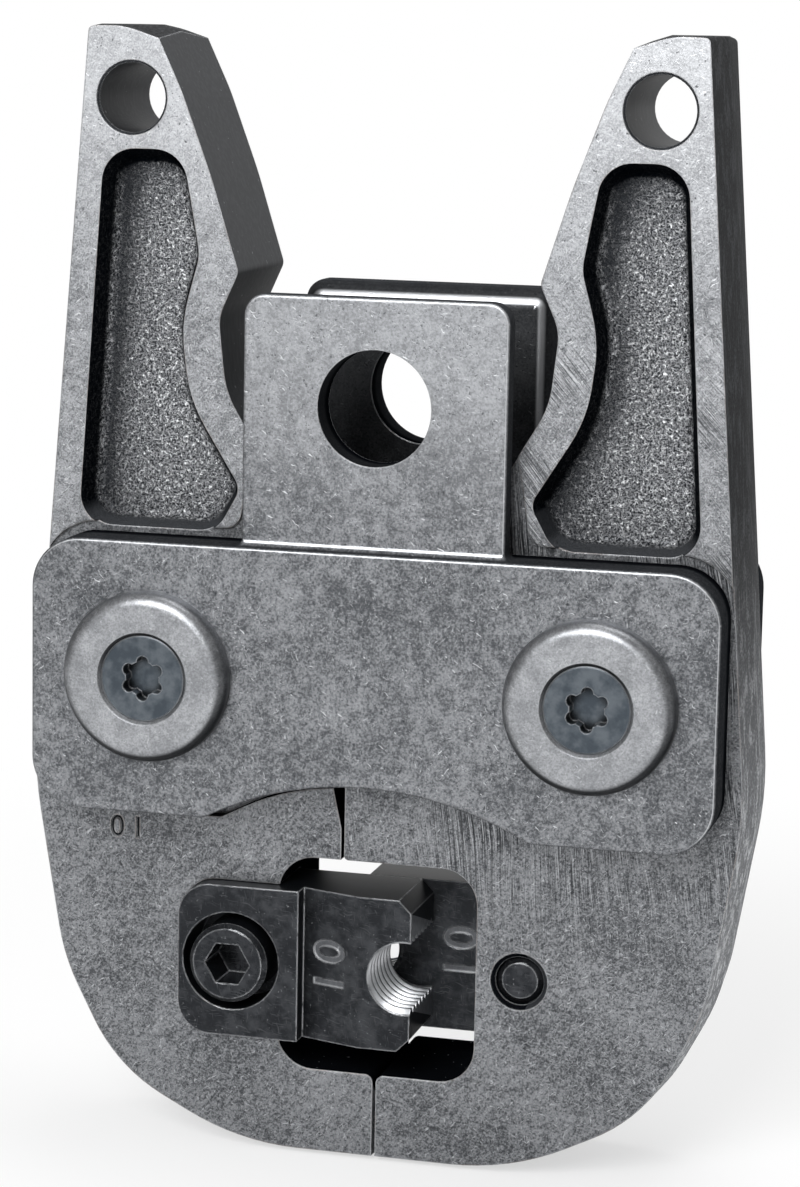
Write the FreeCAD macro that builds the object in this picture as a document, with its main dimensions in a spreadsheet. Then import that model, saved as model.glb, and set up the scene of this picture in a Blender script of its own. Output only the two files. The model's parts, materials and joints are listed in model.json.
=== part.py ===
import FreeCAD, Part
import Sketcher
import math
import os

# Cutting jaw for M10 threaded rod
#
# Two forged levers turn on pins between two T-shaped plates. The tongues of the plates take a
# locking pin, rollers spread the upper arms, and a black insert in each lower lever carries half
# of an M10 thread. The left insert lies in front of the shear plane and the right one behind it.
#
# X runs to the right, Y to the back and Z up. The origin is on the axis of the locking pin bore,
# midway between the plates, and the jaw is closed. The two levers, plates, inserts and insert
# screws are alike: the second of each is the first one turned half round about Z.

doc = FreeCAD.newDocument("rod_cutting_jaw")

# Sizes in millimetres and degrees

SIZES = [
    # Plates
    ("lock_bore_radius", 7.0, "locking pin bore through both tongues"),
    ("tongue_half_width", 16.3, "half of the tongue's width"),
    ("tongue_top", 13.1, "top edge of the tongue"),
    ("tongue_corner", 2.6, "rounding of the tongue's upper corners"),
    ("tongue_thick", 5.0, "thickness of a tongue"),
    ("tongue_roll", 2.6, "lead-in rounding on the inner edge of a tongue"),
    ("bar_thick", 7.0, "thickness of a plate's cross bar"),
    ("bar_top", -17.35, "top edge of the cross bar"),
    ("bar_bottom", -51.1, "bottom edge of the cross bar"),
    ("bar_half_width", 42.7, "half of the cross bar's width"),
    ("bar_corner", 6.3, "rounding of the cross bar's corners"),
    ("arch_radius", 42.3, "arch cut into the bar's bottom edge"),
    ("arch_rise", 5.2, "height of the arch over the bar's bottom edge"),
    ("arch_corner", 3.0, "rounding where the arch leaves the bottom edge"),
    ("step_fillet", 0.9, "fillet between tongue and cross bar"),
    ("plate_edge", 0.4, "rounding of a plate's outer face"),
    ("play", 0.1, "running gap between plate and lever faces"),
    # Pivots
    ("pivot_x", 27.5, "pivot axis from the middle"),
    ("pivot_z", -33.8, "pivot axis height"),
    ("pin_radius", 7.0, "pivot pin"),
    ("pin_play", 0.05, "radial play of a lever on its pin"),
    ("pin_seat", 0.02, "radial play of a pin in a plate"),
    ("pin_bevel", 0.6, "bevel at a pin's ends"),
    ("washer_radius", 10.5, "domed washer"),
    ("washer_thick", 2.7, "height of a domed washer"),
    ("washer_round", 1.7, "rounding of a washer's rim"),
    ("washer_land", 0.35, "dish round the screw head"),
    ("screw_hole", 3.2, "clearance hole for an M6 screw, radius"),
    ("screw_radius", 3.0, "M6 shank"),
    ("thread_play", 0.03, "radial play of a shank in its tapped hole"),
    ("csk_radius", 5.3, "countersunk head"),
    ("head_play", 0.05, "gap between a countersunk head and its seat"),
    ("pin_screw_length", 12.0, "countersunk screw below its washer"),
    ("tap_spare", 1.5, "tapped hole beyond the screw's end"),
    ("lobe_ring", 2.02, "six-lobe recess, ring of the lobes"),
    ("lobe_radius", 0.74, "six-lobe recess, one lobe"),
    ("lobe_core", 2.1, "six-lobe recess, core"),
    ("lobe_deep", 1.9, "six-lobe recess, depth"),
    # Levers
    ("arm_half", 9.5, "half thickness of a lever's raised arm"),
    ("seat_step", 0.6, "step from the raised arm down to the plate's seat"),
    ("spare", 5.0, "how far a cut runs past the forging"),
    ("draft", 4.0, "forging draft of the outer sides"),
    ("crown_x", 33.6, "apex of the arm's top"),
    ("crown_z", 45.0, "apex of the arm's top"),
    ("crown_round", 12.0, "rounding of the apex"),
    ("blank_in_z", 26.2, "top of the blank at its inner end"),
    ("shoulder_x", 38.55, "upper outer corner"),
    ("shoulder_z", 44.8, "upper outer corner"),
    ("shoulder_round", 1.4, "rounding of the upper outer corner"),
    ("hip_x", 45.7, "widest point of the outer side"),
    ("hip_z", -48.1, "widest point of the outer side"),
    ("hip_round", 45.0, "rounding of the widest point"),
    ("thigh_x", 41.6, "outer side below the hip"),
    ("thigh_z", -72.5, "outer side below the hip"),
    ("thigh_round", 27.0, "rounding below the hip"),
    ("knee_x", 34.3, "outer side above the foot"),
    ("knee_z", -86.6, "outer side above the foot"),
    ("knee_round", 21.5, "rounding above the foot"),
    ("foot_x", 17.7, "start of the flat foot"),
    ("foot_z", -95.0, "underside of the levers"),
    ("foot_round", 33.0, "rounding at the foot"),
    ("cam_top_x", 29.75, "roller face where it meets the trimmed end"),
    ("trim_z", 44.4, "trimmed end of the arm"),
    ("cam_high_x", 26.0, "upper bend of the roller face"),
    ("cam_high_z", 36.5, "upper bend of the roller face"),
    ("cam_high_round", 30.0, "rounding of the upper bend"),
    ("cam_low_x", 22.2, "lower bend of the roller face"),
    ("cam_low_z", 26.4, "lower bend of the roller face"),
    ("cam_low_round", 60.0, "rounding of the lower bend"),
    ("cam_end_x", 18.65, "lower end of the roller face"),
    ("cam_end_z", 15.1, "lower end of the roller face"),
    ("cam_end_round", 1.4, "rounding of the roller face's end"),
    ("bay_high_x", 21.1, "upper bend of the bay beside the tongue"),
    ("bay_high_z", 9.6, "upper bend of the bay beside the tongue"),
    ("bay_low_x", 20.1, "lower bend of the bay"),
    ("bay_low_z", 0.6, "lower bend of the bay"),
    ("bay_round", 11.0, "rounding of the bay"),
    ("bay_high_round", 5.5, "rounding of the bay's upper bend"),
    ("neck_x", 11.0, "inner side behind the tongue"),
    ("neck_z", -14.6, "inner side behind the tongue"),
    ("neck_round", 5.0, "rounding behind the tongue"),
    ("waist_half", 3.0, "half of the gap between the levers"),
    ("waist_top", -18.6, "top of the narrow gap between the levers"),
    ("lap_top", -46.8, "top of the nose that laps the other lever"),
    ("lap_reach", 4.35, "how far the nose reaches past the middle"),
    ("lap_play", 0.4, "gap at the nose's end"),
    ("lap_round", 0.6, "rounding of the nose"),
    ("lap_open", 6.1, "flared mouth above the nose"),
    ("lap_bend", -52.8, "where the mouth starts to flare"),
    ("lap_clear", 2.8, "height cleared above the nose"),
    ("window_top", -56.75, "top of the die window"),
    ("window_bottom", -83.9, "bottom of the die window"),
    ("window_half", 12.65, "half of the window's width"),
    ("window_round", 4.6, "rounding of the window"),
    ("stop_play", 0.22, "half of the gap between the levers below the window"),
    ("stop_round", 1.0, "rounding of the lower inner corners"),
    ("seat_gap", 1.2, "clear strip between a plate's edge and the raised arm"),
    ("relief_x", 16.5, "relief line beside the tongue, upper end"),
    ("relief_z", -5.5, "relief line beside the tongue, upper end"),
    ("relief_run", 1.75, "how far the relief line runs outwards"),
    ("relief_round", 2.2, "cutter rounding of the relief"),
    ("arch_strip", 1.45, "groove past the arch on the insert's side"),
    ("arch_strip_deep", 2.0, "depth of that groove"),
    ("arm_hole_x", 32.4, "hole in the arm's end"),
    ("arm_hole_z", 35.7, "hole in the arm's end"),
    ("arm_hole_radius", 4.2, "hole in the arm's end"),
    ("arm_hole_bevel", 0.35, "bevel of that hole"),
    ("pocket_deep", 3.5, "depth of the forged pocket in the arm"),
    ("pocket_draft", 20.0, "slope of the pocket's walls"),
    ("pocket_floor_round", 1.2, "rounding at the pocket's floor"),
    ("pocket_top_in_x", 25.9, "pocket outline"),
    ("pocket_top_out_x", 35.9, "pocket outline"),
    ("pocket_top_z", 29.6, "pocket outline"),
    ("pocket_top_round", 4.2, "pocket outline"),
    ("pocket_foot_out_x", 39.0, "pocket outline"),
    ("pocket_foot_in_x", 21.2, "pocket outline"),
    ("pocket_foot_z", -16.85, "pocket outline"),
    ("pocket_foot_round", 4.0, "pocket outline"),
    ("pocket_heel_x", 18.1, "pocket outline"),
    ("pocket_heel_z", -11.2, "pocket outline"),
    ("pocket_heel_round", 2.2, "pocket outline"),
    ("pocket_waist_x", 24.7, "pocket outline"),
    ("pocket_waist_z", -0.6, "pocket outline"),
    ("pocket_side_x", 25.9, "pocket outline"),
    ("pocket_side_z", 8.6, "pocket outline"),
    ("pocket_side_round", 17.0, "pocket outline"),
    ("pocket_bulge_x", 23.6, "pocket outline"),
    ("pocket_bulge_z", 17.0, "pocket outline"),
    ("pocket_bulge_round", 5.5, "pocket outline"),
    # Cutting inserts and their screws
    ("insert_nose", 5.0, "how far an insert reaches past the middle"),
    ("insert_end", 25.0, "outer end of an insert"),
    ("insert_top", -60.6, "upper edge of an insert"),
    ("insert_bottom", -79.8, "lower edge of an insert"),
    ("insert_corner", 4.2, "rounding of the outer corners"),
    ("insert_bevel", 1.6, "bevel at the nose"),
    ("insert_proud", 2.5, "how far an insert stands out of its lever"),
    ("insert_gap", 0.1, "gap round an insert in its pocket"),
    ("shear_gap", 0.1, "gap between the two inserts"),
    ("notch_start", 9.4, "step of the sunk slope on an insert's face"),
    ("notch_end", 1.65, "end of that slope"),
    ("notch_deep", 2.4, "depth of that slope"),
    ("rod_minor", 4.19, "M10 thread, minor radius"),
    ("rod_offset", 3.85, "thread centre past the middle when closed"),
    ("insert_screw_x", 18.1, "insert screw from the middle"),
    ("cap_radius", 5.0, "socket head"),
    ("cap_high", 6.0, "socket head"),
    ("cap_bevel", 0.6, "socket head"),
    ("cap_sunk", 1.0, "socket head below the insert's face"),
    ("cap_bore", 6.2, "counterbore in the insert, radius"),
    ("socket_across", 5.0, "hexagon socket, across flats"),
    ("socket_deep", 3.0, "hexagon socket"),
    ("tip_sunk", 0.6, "screw tip below the lever's face"),
    ("tip_round", 0.8, "screw tip"),
    ("tap_bevel", 0.6, "bevel of the tapped hole"),
    # Closing spring
    ("spring_z", -24.5, "axis of the closing spring"),
    ("spring_radius", 3.25, "outer radius of the spring"),
    ("spring_wire", 0.6, "radius of its wire"),
    ("spring_pitch", 2.9, "pitch of its coils"),
    ("spring_seat", 7.5, "depth of its seats in the levers"),
    ("spring_play", 0.45, "radial gap round the spring in its seats"),
]


class Size:
    """A number together with the spreadsheet expression that gives it."""

    def __init__(self, value, text):
        self.value = float(value)
        self.text = text

    def __add__(self, other):
        other = as_size(other)
        return Size(self.value + other.value, "(%s + %s)" % (self.text, other.text))

    def __sub__(self, other):
        other = as_size(other)
        return Size(self.value - other.value, "(%s - %s)" % (self.text, other.text))

    def __mul__(self, other):
        other = as_size(other)
        return Size(self.value * other.value, "(%s * %s)" % (self.text, other.text))

    def __truediv__(self, other):
        other = as_size(other)
        return Size(self.value / other.value, "(%s / %s)" % (self.text, other.text))

    def __neg__(self):
        return Size(-self.value, "(-%s)" % self.text)

    def root(self):
        return Size(math.sqrt(self.value), "sqrt(%s)" % self.text)


def as_size(number):
    """A plain number written as a Size."""
    if isinstance(number, Size):
        return number
    return Size(number, "%.6g" % number if number >= 0 else "(%.6g)" % number)


class Sheet:
    """The spreadsheet, whose named cells read as attributes."""

    def __init__(self, rows):
        self.sheet = doc.addObject("Spreadsheet::Sheet", "Sizes")
        self.rows = {}
        for number, (alias, value, meaning) in enumerate(rows, start=1):
            self.sheet.set("A%d" % number, alias)
            self.sheet.set("B%d" % number, "%.6g" % value)
            self.sheet.set("C%d" % number, meaning)
            self.sheet.setAlias("B%d" % number, alias)
            self.rows[alias] = Size(value, "Sizes." + alias)
        doc.recompute()

    def __getattr__(self, alias):
        return self.rows[alias]


z = Sheet(SIZES)

# Lines that several pieces share

seat_half = z.arm_half - z.seat_step
bar_inner = seat_half + z.play
bar_outer = bar_inner + z.bar_thick
tongue_inner = z.arm_half + z.play
tongue_outer = tongue_inner + z.tongue_thick
insert_face = seat_half + z.insert_proud
insert_middle = (z.insert_top + z.insert_bottom) / 2
shear_face = z.shear_gap / 2
tap_radius = z.screw_radius + z.thread_play
arch_centre = z.bar_bottom + z.arch_rise - z.arch_radius
arch_half = (z.arch_rise * (z.arch_radius * 2 - z.arch_rise)).root()


# Sketches and features

def bind(thing, name, size):
    """Ties a property to its expression."""
    size = as_size(size)
    thing.setExpression(name, size.text)


def new_body(name):
    """An empty body with its own label."""
    made = doc.addObject("PartDesign::Body", name)
    made.Label = name
    return made


def plane_of(body, role):
    """One of the body's own origin planes."""
    return [p for p in body.Origin.OriginFeatures if p.Role == role][0]


def new_sketch(body, label, role="XZ_Plane", offset=None):
    """A sketch on an origin plane, moved along the plane's normal."""
    sketch = body.newObject("Sketcher::SketchObject", label)
    sketch.AttachmentSupport = [(plane_of(body, role), "")]
    sketch.MapMode = "FlatFace"
    if offset is not None:
        sketch.AttachmentOffset = FreeCAD.Placement(
            FreeCAD.Vector(0, 0, offset.value), FreeCAD.Rotation()
        )
        bind(sketch, "AttachmentOffset.Base.z", offset)
    return sketch


def at_depth(body, label, depth):
    """A sketch in X and Z at a depth, where negative depths lie in front."""
    return new_sketch(body, label, "XZ_Plane", -as_size(depth))


def pin_point(sketch, geometry, end, across, up):
    """Fixes a point by its two coordinates."""
    for kind, size in (("DistanceX", across), ("DistanceY", up)):
        number = sketch.addConstraint(
            Sketcher.Constraint(kind, -1, 1, geometry, end, size.value)
        )
        bind(sketch, "Constraints[%d]" % number, size)


def rounding(before, corner, after, radius):
    """The tangent points, centre and turning sense of a rounded corner."""
    one = (before - corner).normalize()
    two = (after - corner).normalize()
    half = math.acos(max(-1.0, min(1.0, one.dot(two)))) / 2
    reach = radius / math.tan(half)
    middle = (one + two).normalize() * (radius / math.sin(half))
    left_turn = (-one).cross(two).z > 0
    return corner + one * reach, corner + two * reach, corner + middle, left_turn


def outline(sketch, corners):
    """A closed outline through corners (across, up, radius or None), each fixed by its sizes."""
    corners = [(as_size(a), as_size(u), None if r is None else as_size(r)) for a, u, r in corners]
    points = [FreeCAD.Vector(a.value, u.value, 0) for a, u, r in corners]
    count = len(points)
    rounds = []
    for i, (a, u, r) in enumerate(corners):
        if r is None:
            rounds.append(None)
        else:
            rounds.append(rounding(points[i - 1], points[i], points[(i + 1) % count], r.value))
    lines = []
    for i in range(count):
        j = (i + 1) % count
        start = rounds[i][1] if rounds[i] else points[i]
        end = rounds[j][0] if rounds[j] else points[j]
        lines.append(sketch.addGeometry(Part.LineSegment(start, end), False))
    for j, (a, u, r) in enumerate(corners):
        line, following = lines[j - 1], lines[j]
        if r is None:
            sketch.addConstraint(Sketcher.Constraint("Coincident", line, 2, following, 1))
            pin_point(sketch, following, 1, a, u)
            continue
        first, second, centre, left_turn = rounds[j]
        if not left_turn:
            first, second = second, first
        angles = [math.atan2(p.y - centre.y, p.x - centre.x) for p in (first, second)]
        circle = Part.Circle(centre, FreeCAD.Vector(0, 0, 1), r.value)
        arc = sketch.addGeometry(Part.ArcOfCircle(circle, angles[0], angles[1]), False)
        near, far = (1, 2) if left_turn else (2, 1)
        sketch.addConstraint(Sketcher.Constraint("Tangent", line, 2, arc, near))
        sketch.addConstraint(Sketcher.Constraint("Tangent", arc, far, following, 1))
        number = sketch.addConstraint(Sketcher.Constraint("Radius", arc, r.value))
        bind(sketch, "Constraints[%d]" % number, r)
        tip = sketch.addGeometry(Part.Point(points[j]), True)
        sketch.addConstraint(Sketcher.Constraint("PointOnObject", tip, 1, line))
        sketch.addConstraint(Sketcher.Constraint("PointOnObject", tip, 1, following))
        pin_point(sketch, tip, 1, a, u)
    return sketch


def discs(sketch, circles):
    """Circles (across, up, radius)."""
    for across, up, radius in circles:
        across, up, radius = as_size(across), as_size(up), as_size(radius)
        circle = sketch.addGeometry(
            Part.Circle(
                FreeCAD.Vector(across.value, up.value, 0), FreeCAD.Vector(0, 0, 1), radius.value
            ),
            False,
        )
        pin_point(sketch, circle, 3, across, up)
        number = sketch.addConstraint(Sketcher.Constraint("Radius", circle, radius.value))
        bind(sketch, "Constraints[%d]" % number, radius)
    return sketch


def pad(body, sketch, length, backwards=False, taper=None):
    """Adds material from a sketch towards the front, or towards the back."""
    made = body.newObject("PartDesign::Pad", sketch.Label + "_pad")
    made.Profile = sketch
    made.Reversed = backwards
    bind(made, "Length", length)
    if taper is not None:
        bind(made, "TaperAngle", taper)
    sketch.Visibility = False
    doc.recompute()
    return made


def cut(body, sketch, length, backwards=True, taper=None):
    """Takes material away from a sketch towards the back, or towards the front."""
    before = body.Shape.Volume
    made = body.newObject("PartDesign::Pocket", sketch.Label + "_cut")
    made.Profile = sketch
    made.Reversed = not backwards
    bind(made, "Length", length)
    if taper is not None:
        bind(made, "TaperAngle", taper)
    sketch.Visibility = False
    doc.recompute()
    if body.Shape.Volume > before - 1e-6:
        raise RuntimeError("%s takes nothing away" % sketch.Label)
    return made


def edges_where(shape, test):
    """Names of the edges whose inner points all pass a test."""
    names = []
    for number, edge in enumerate(shape.Edges, start=1):
        span = edge.LastParameter - edge.FirstParameter
        points = [edge.valueAt(edge.FirstParameter + span * k) for k in (0.15, 0.5, 0.85)]
        if all(test(p) for p in points):
            names.append("Edge%d" % number)
    return names


def dress(body, kind, label, test, size):
    """A fillet or chamfer on the edges that pass a test."""
    base = body.Tip
    names = edges_where(base.Shape, test)
    if not names:
        raise RuntimeError("%s finds no edge" % label)
    made = body.newObject("PartDesign::" + kind, label)
    made.Base = (base, names)
    bind(made, "Radius" if kind == "Fillet" else "Size", size)
    doc.recompute()
    if "Invalid" in made.State or "Error" in made.State:
        raise RuntimeError("%s can't be made" % label)
    return made


def near(value, size):
    """Whether a coordinate lies at a size."""
    return abs(value - as_size(size).value) < 0.01


def above(value, size):
    """Whether a coordinate lies clear above a size."""
    return value - as_size(size).value > 0.01


def turned(body, label, corners):
    """A body turned about Y from corners (radius, depth, rounding or None)."""
    sketch = outline(new_sketch(body, label, "XY_Plane"), corners)
    made = body.newObject("PartDesign::Revolution", label + "_turned")
    made.Profile = sketch
    made.ReferenceAxis = (sketch, ["V_Axis"])
    made.Angle = 360
    sketch.Visibility = False
    doc.recompute()
    return made


def place(body, across=0, depth=0, up=0, half_turn=False):
    """Sets a body at its place, turned half round about Z where asked."""
    across, depth, up = as_size(across), as_size(depth), as_size(up)
    angle = 180 if half_turn else 0
    body.Placement = FreeCAD.Placement(
        FreeCAD.Vector(across.value, depth.value, up.value),
        FreeCAD.Rotation(FreeCAD.Vector(0, 0, 1), angle),
    )
    for axis, size in (("x", across), ("y", depth), ("z", up)):
        bind(body, "Placement.Base." + axis, size)
    return body


# T-shaped plate, drawn as the front one

def plate(name, half_turn):
    """Cross bar with an arch below, tongue with the locking pin bore above."""
    body = new_body(name)
    bar = outline(at_depth(body, name + "_bar", -bar_inner), [
        (-z.bar_half_width, z.bar_bottom, z.bar_corner),
        (z.bar_half_width, z.bar_bottom, z.bar_corner),
        (z.bar_half_width, z.bar_top, z.bar_corner),
        (-z.bar_half_width, z.bar_top, z.bar_corner),
    ])
    pad(body, bar, z.bar_thick)
    tongue = outline(at_depth(body, name + "_tongue", -tongue_inner), [
        (-z.tongue_half_width, z.bar_top - z.bar_corner, None),
        (z.tongue_half_width, z.bar_top - z.bar_corner, None),
        (z.tongue_half_width, z.tongue_top, z.tongue_corner),
        (-z.tongue_half_width, z.tongue_top, z.tongue_corner),
    ])
    pad(body, tongue, z.tongue_thick)
    dress(body, "Fillet", name + "_roll", lambda p: near(p.y, -tongue_inner) and
          above(p.z, z.bar_top), z.tongue_roll)
    dress(body, "Fillet", name + "_tongue_edge", lambda p: near(p.y, -tongue_outer) and
          above(p.z, z.bar_top + z.step_fillet), z.plate_edge)
    dress(body, "Fillet", name + "_step", lambda p: near(p.y, -tongue_outer) and
          near(p.z, z.bar_top), z.step_fillet)
    arch = discs(at_depth(body, name + "_arch", -bar_outer), [(0, arch_centre, z.arch_radius)])
    cut(body, arch, bar_outer)
    dress(body, "Fillet", name + "_arch_ends", lambda p: near(p.z, z.bar_bottom) and
          near(abs(p.x), arch_half), z.arch_corner)
    bores = discs(at_depth(body, name + "_bores", -bar_outer), [
        (0, 0, z.lock_bore_radius),
        (-z.pivot_x, z.pivot_z, z.pin_radius + z.pin_seat),
        (z.pivot_x, z.pivot_z, z.pin_radius + z.pin_seat),
    ])
    cut(body, bores, bar_outer)
    dress(body, "Fillet", name + "_bar_edge", lambda p: near(p.y, -bar_outer) and not
          near(math.hypot(abs(p.x) - z.pivot_x.value, p.z - z.pivot_z.value),
               z.pin_radius + z.pin_seat), z.plate_edge)
    return place(body, half_turn=half_turn)


# Lever, drawn as the right one with its insert at the back

def lever(name, half_turn):
    """Drop-forged blank with draft, ground inner side, milled seats and pockets."""
    body = new_body(name)
    far = z.shoulder_x + z.hip_x
    blank = outline(at_depth(body, name + "_parting", 0), [
        (-z.insert_end, z.foot_z, None),
        (z.foot_x, z.foot_z, z.foot_round),
        (z.knee_x, z.knee_z, z.knee_round),
        (z.thigh_x, z.thigh_z, z.thigh_round),
        (z.hip_x, z.hip_z, z.hip_round),
        (z.shoulder_x, z.shoulder_z, z.shoulder_round),
        (z.crown_x, z.crown_z, z.crown_round),
        (-z.insert_end, z.blank_in_z, None),
    ])
    pad(body, blank, z.arm_half, False, -z.draft)
    pad(body, blank, z.arm_half, True, -z.draft)
    start = z.arm_half + z.spare
    through = start * 2
    left_of_all = -z.insert_end * 2
    # Ground inner side: roller face, bay, waist, nose, window and lower stop, and the arm's end
    inner = outline(at_depth(body, name + "_inner", -start), [
        (left_of_all, z.foot_z - z.spare, None),
        (z.stop_play, z.foot_z - z.spare, None),
        (z.stop_play, z.window_bottom, z.stop_round),
        (z.window_half, z.window_bottom, z.window_round),
        (z.window_half, z.window_top, z.window_round),
        (-z.lap_reach, z.window_top, z.lap_round),
        (-z.lap_reach, z.lap_top, z.lap_round),
        (z.waist_half, z.lap_top, z.lap_round),
        (z.waist_half, z.waist_top, z.neck_round),
        (z.neck_x, z.neck_z, z.neck_round),
        (z.bay_low_x, z.bay_low_z, z.bay_round),
        (z.bay_high_x, z.bay_high_z, z.bay_high_round),
        (z.cam_end_x, z.cam_end_z, z.cam_end_round),
        (z.cam_low_x, z.cam_low_z, z.cam_low_round),
        (z.cam_high_x, z.cam_high_z, z.cam_high_round),
        (z.cam_top_x, z.trim_z, None),
        (far, z.trim_z, None),
        (far, z.crown_z + z.spare, None),
        (left_of_all, z.crown_z + z.spare, None),
    ])
    cut(body, inner, through)
    # Rear half: the nose of the other lever laps here
    lap = outline(at_depth(body, name + "_lap", -shear_face), [
        (left_of_all, (z.window_top + z.window_bottom) / 2, None),
        (z.lap_reach + z.lap_play, (z.window_top + z.window_bottom) / 2, None),
        (z.lap_reach + z.lap_play, z.lap_bend, None),
        (z.lap_open, z.lap_top, None),
        (z.lap_open, z.lap_top + z.lap_clear, None),
        (left_of_all, z.lap_top + z.lap_clear, None),
    ])
    cut(body, lap, start + shear_face)
    # Milled seats for the plates and the whole lower lever
    slope = z.relief_run / (z.relief_z - z.bar_top - z.seat_gap)
    rise = z.tongue_top + z.tongue_half_width
    seat_corners = [
        (left_of_all, z.foot_z - z.spare, None),
        (far, z.foot_z - z.spare, None),
        (far, z.bar_top - z.bar_corner - z.seat_gap, None),
        (z.bar_half_width + z.seat_gap, z.bar_top - z.bar_corner - z.seat_gap, None),
        (z.bar_half_width + z.seat_gap, z.bar_top + z.seat_gap, z.bar_corner + z.seat_gap),
        (z.relief_x + z.relief_run, z.bar_top + z.seat_gap, z.relief_round),
        (z.relief_x - slope * rise, z.relief_z + rise, None),
        (left_of_all, z.relief_z + rise, None),
    ]
    for side, depth, backwards in (("front", -start, True), ("rear", start, False)):
        seat = outline(at_depth(body, name + "_seat_" + side, depth), seat_corners)
        cut(body, seat, start - seat_half, backwards)
    # Groove past the arch, on the side that carries the insert
    ring = z.arch_radius - z.arch_strip
    groove = outline(at_depth(body, name + "_arch_groove", seat_half + z.spare), [
        (ring * 0.0734, z.bar_bottom + z.arch_rise + z.arch_strip, None),
        (ring * 0.0734, arch_centre + ring * 0.9985, None),
        (ring * 0.3103, arch_centre + ring * 0.9694, ring * 0.7),
        (arch_half, z.bar_bottom - z.arch_strip, z.arch_strip),
        (arch_half + z.arch_strip * 2, z.bar_bottom - z.arch_strip, z.arch_strip / 2),
        (arch_half + z.arch_strip * 2, z.bar_bottom + z.arch_rise + z.arch_strip, None),
    ])
    cut(body, groove, z.spare + z.arch_strip_deep, False)
    # Forged pockets in the arm
    pocket_corners = [
        (z.pocket_foot_out_x, z.pocket_foot_z, z.pocket_foot_round),
        (z.pocket_top_out_x, z.pocket_top_z, z.pocket_top_round),
        (z.pocket_top_in_x, z.pocket_top_z, z.pocket_top_round),
        (z.pocket_bulge_x, z.pocket_bulge_z, z.pocket_bulge_round),
        (z.pocket_side_x, z.pocket_side_z, z.pocket_side_round),
        (z.pocket_waist_x, z.pocket_waist_z, z.pocket_side_round),
        (z.pocket_heel_x, z.pocket_heel_z, z.pocket_heel_round),
        (z.pocket_foot_in_x, z.pocket_foot_z, z.pocket_foot_round),
    ]
    for side, depth, backwards in (("front", -z.arm_half, True), ("rear", z.arm_half, False)):
        hollow = outline(at_depth(body, name + "_hollow_" + side, depth), pocket_corners)
        cut(body, hollow, z.pocket_deep, backwards, -z.pocket_draft)
    floor = z.arm_half - z.pocket_deep
    dress(body, "Fillet", name + "_hollow_floor", lambda p: near(abs(p.y), floor) and
          p.z > z.pocket_foot_z.value, z.pocket_floor_round)
    # Bores, insert pocket and tapped hole
    bores = discs(at_depth(body, name + "_bores", -start), [
        (z.pivot_x, z.pivot_z, z.pin_radius + z.pin_play),
        (z.arm_hole_x, z.arm_hole_z, z.arm_hole_radius),
        (z.insert_screw_x, insert_middle, tap_radius),
    ])
    cut(body, bores, through)
    bed = outline(at_depth(body, name + "_bed", seat_half + z.spare), [
        (z.window_half - z.window_round, z.insert_bottom - z.insert_gap, None),
        (z.insert_end + z.insert_gap, z.insert_bottom - z.insert_gap,
         z.insert_corner + z.insert_gap),
        (z.insert_end + z.insert_gap, z.insert_top + z.insert_gap,
         z.insert_corner + z.insert_gap),
        (z.window_half - z.window_round, z.insert_top + z.insert_gap, None),
    ])
    cut(body, bed, seat_half + z.spare - shear_face, False)
    dress(body, "Chamfer", name + "_tap_bevel", lambda p: near(p.y, -seat_half) and
          near(math.hypot(p.x - z.insert_screw_x.value, p.z - insert_middle.value),
               tap_radius), z.tap_bevel)
    dress(body, "Chamfer", name + "_arm_bevel", lambda p: near(abs(p.y), z.arm_half) and
          near(math.hypot(p.x - z.arm_hole_x.value, p.z - z.arm_hole_z.value),
               z.arm_hole_radius), z.arm_hole_bevel)
    # Seat of the closing spring
    seat = discs(new_sketch(body, name + "_spring_seat", "YZ_Plane", z.waist_half - z.spare), [
        (0, z.spring_z, z.spring_radius + z.spring_play),
    ])
    cut(body, seat, z.spring_seat + z.spare, False)
    return place(body, half_turn=half_turn)


# Cutting insert, drawn as the right one behind the shear plane

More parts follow.
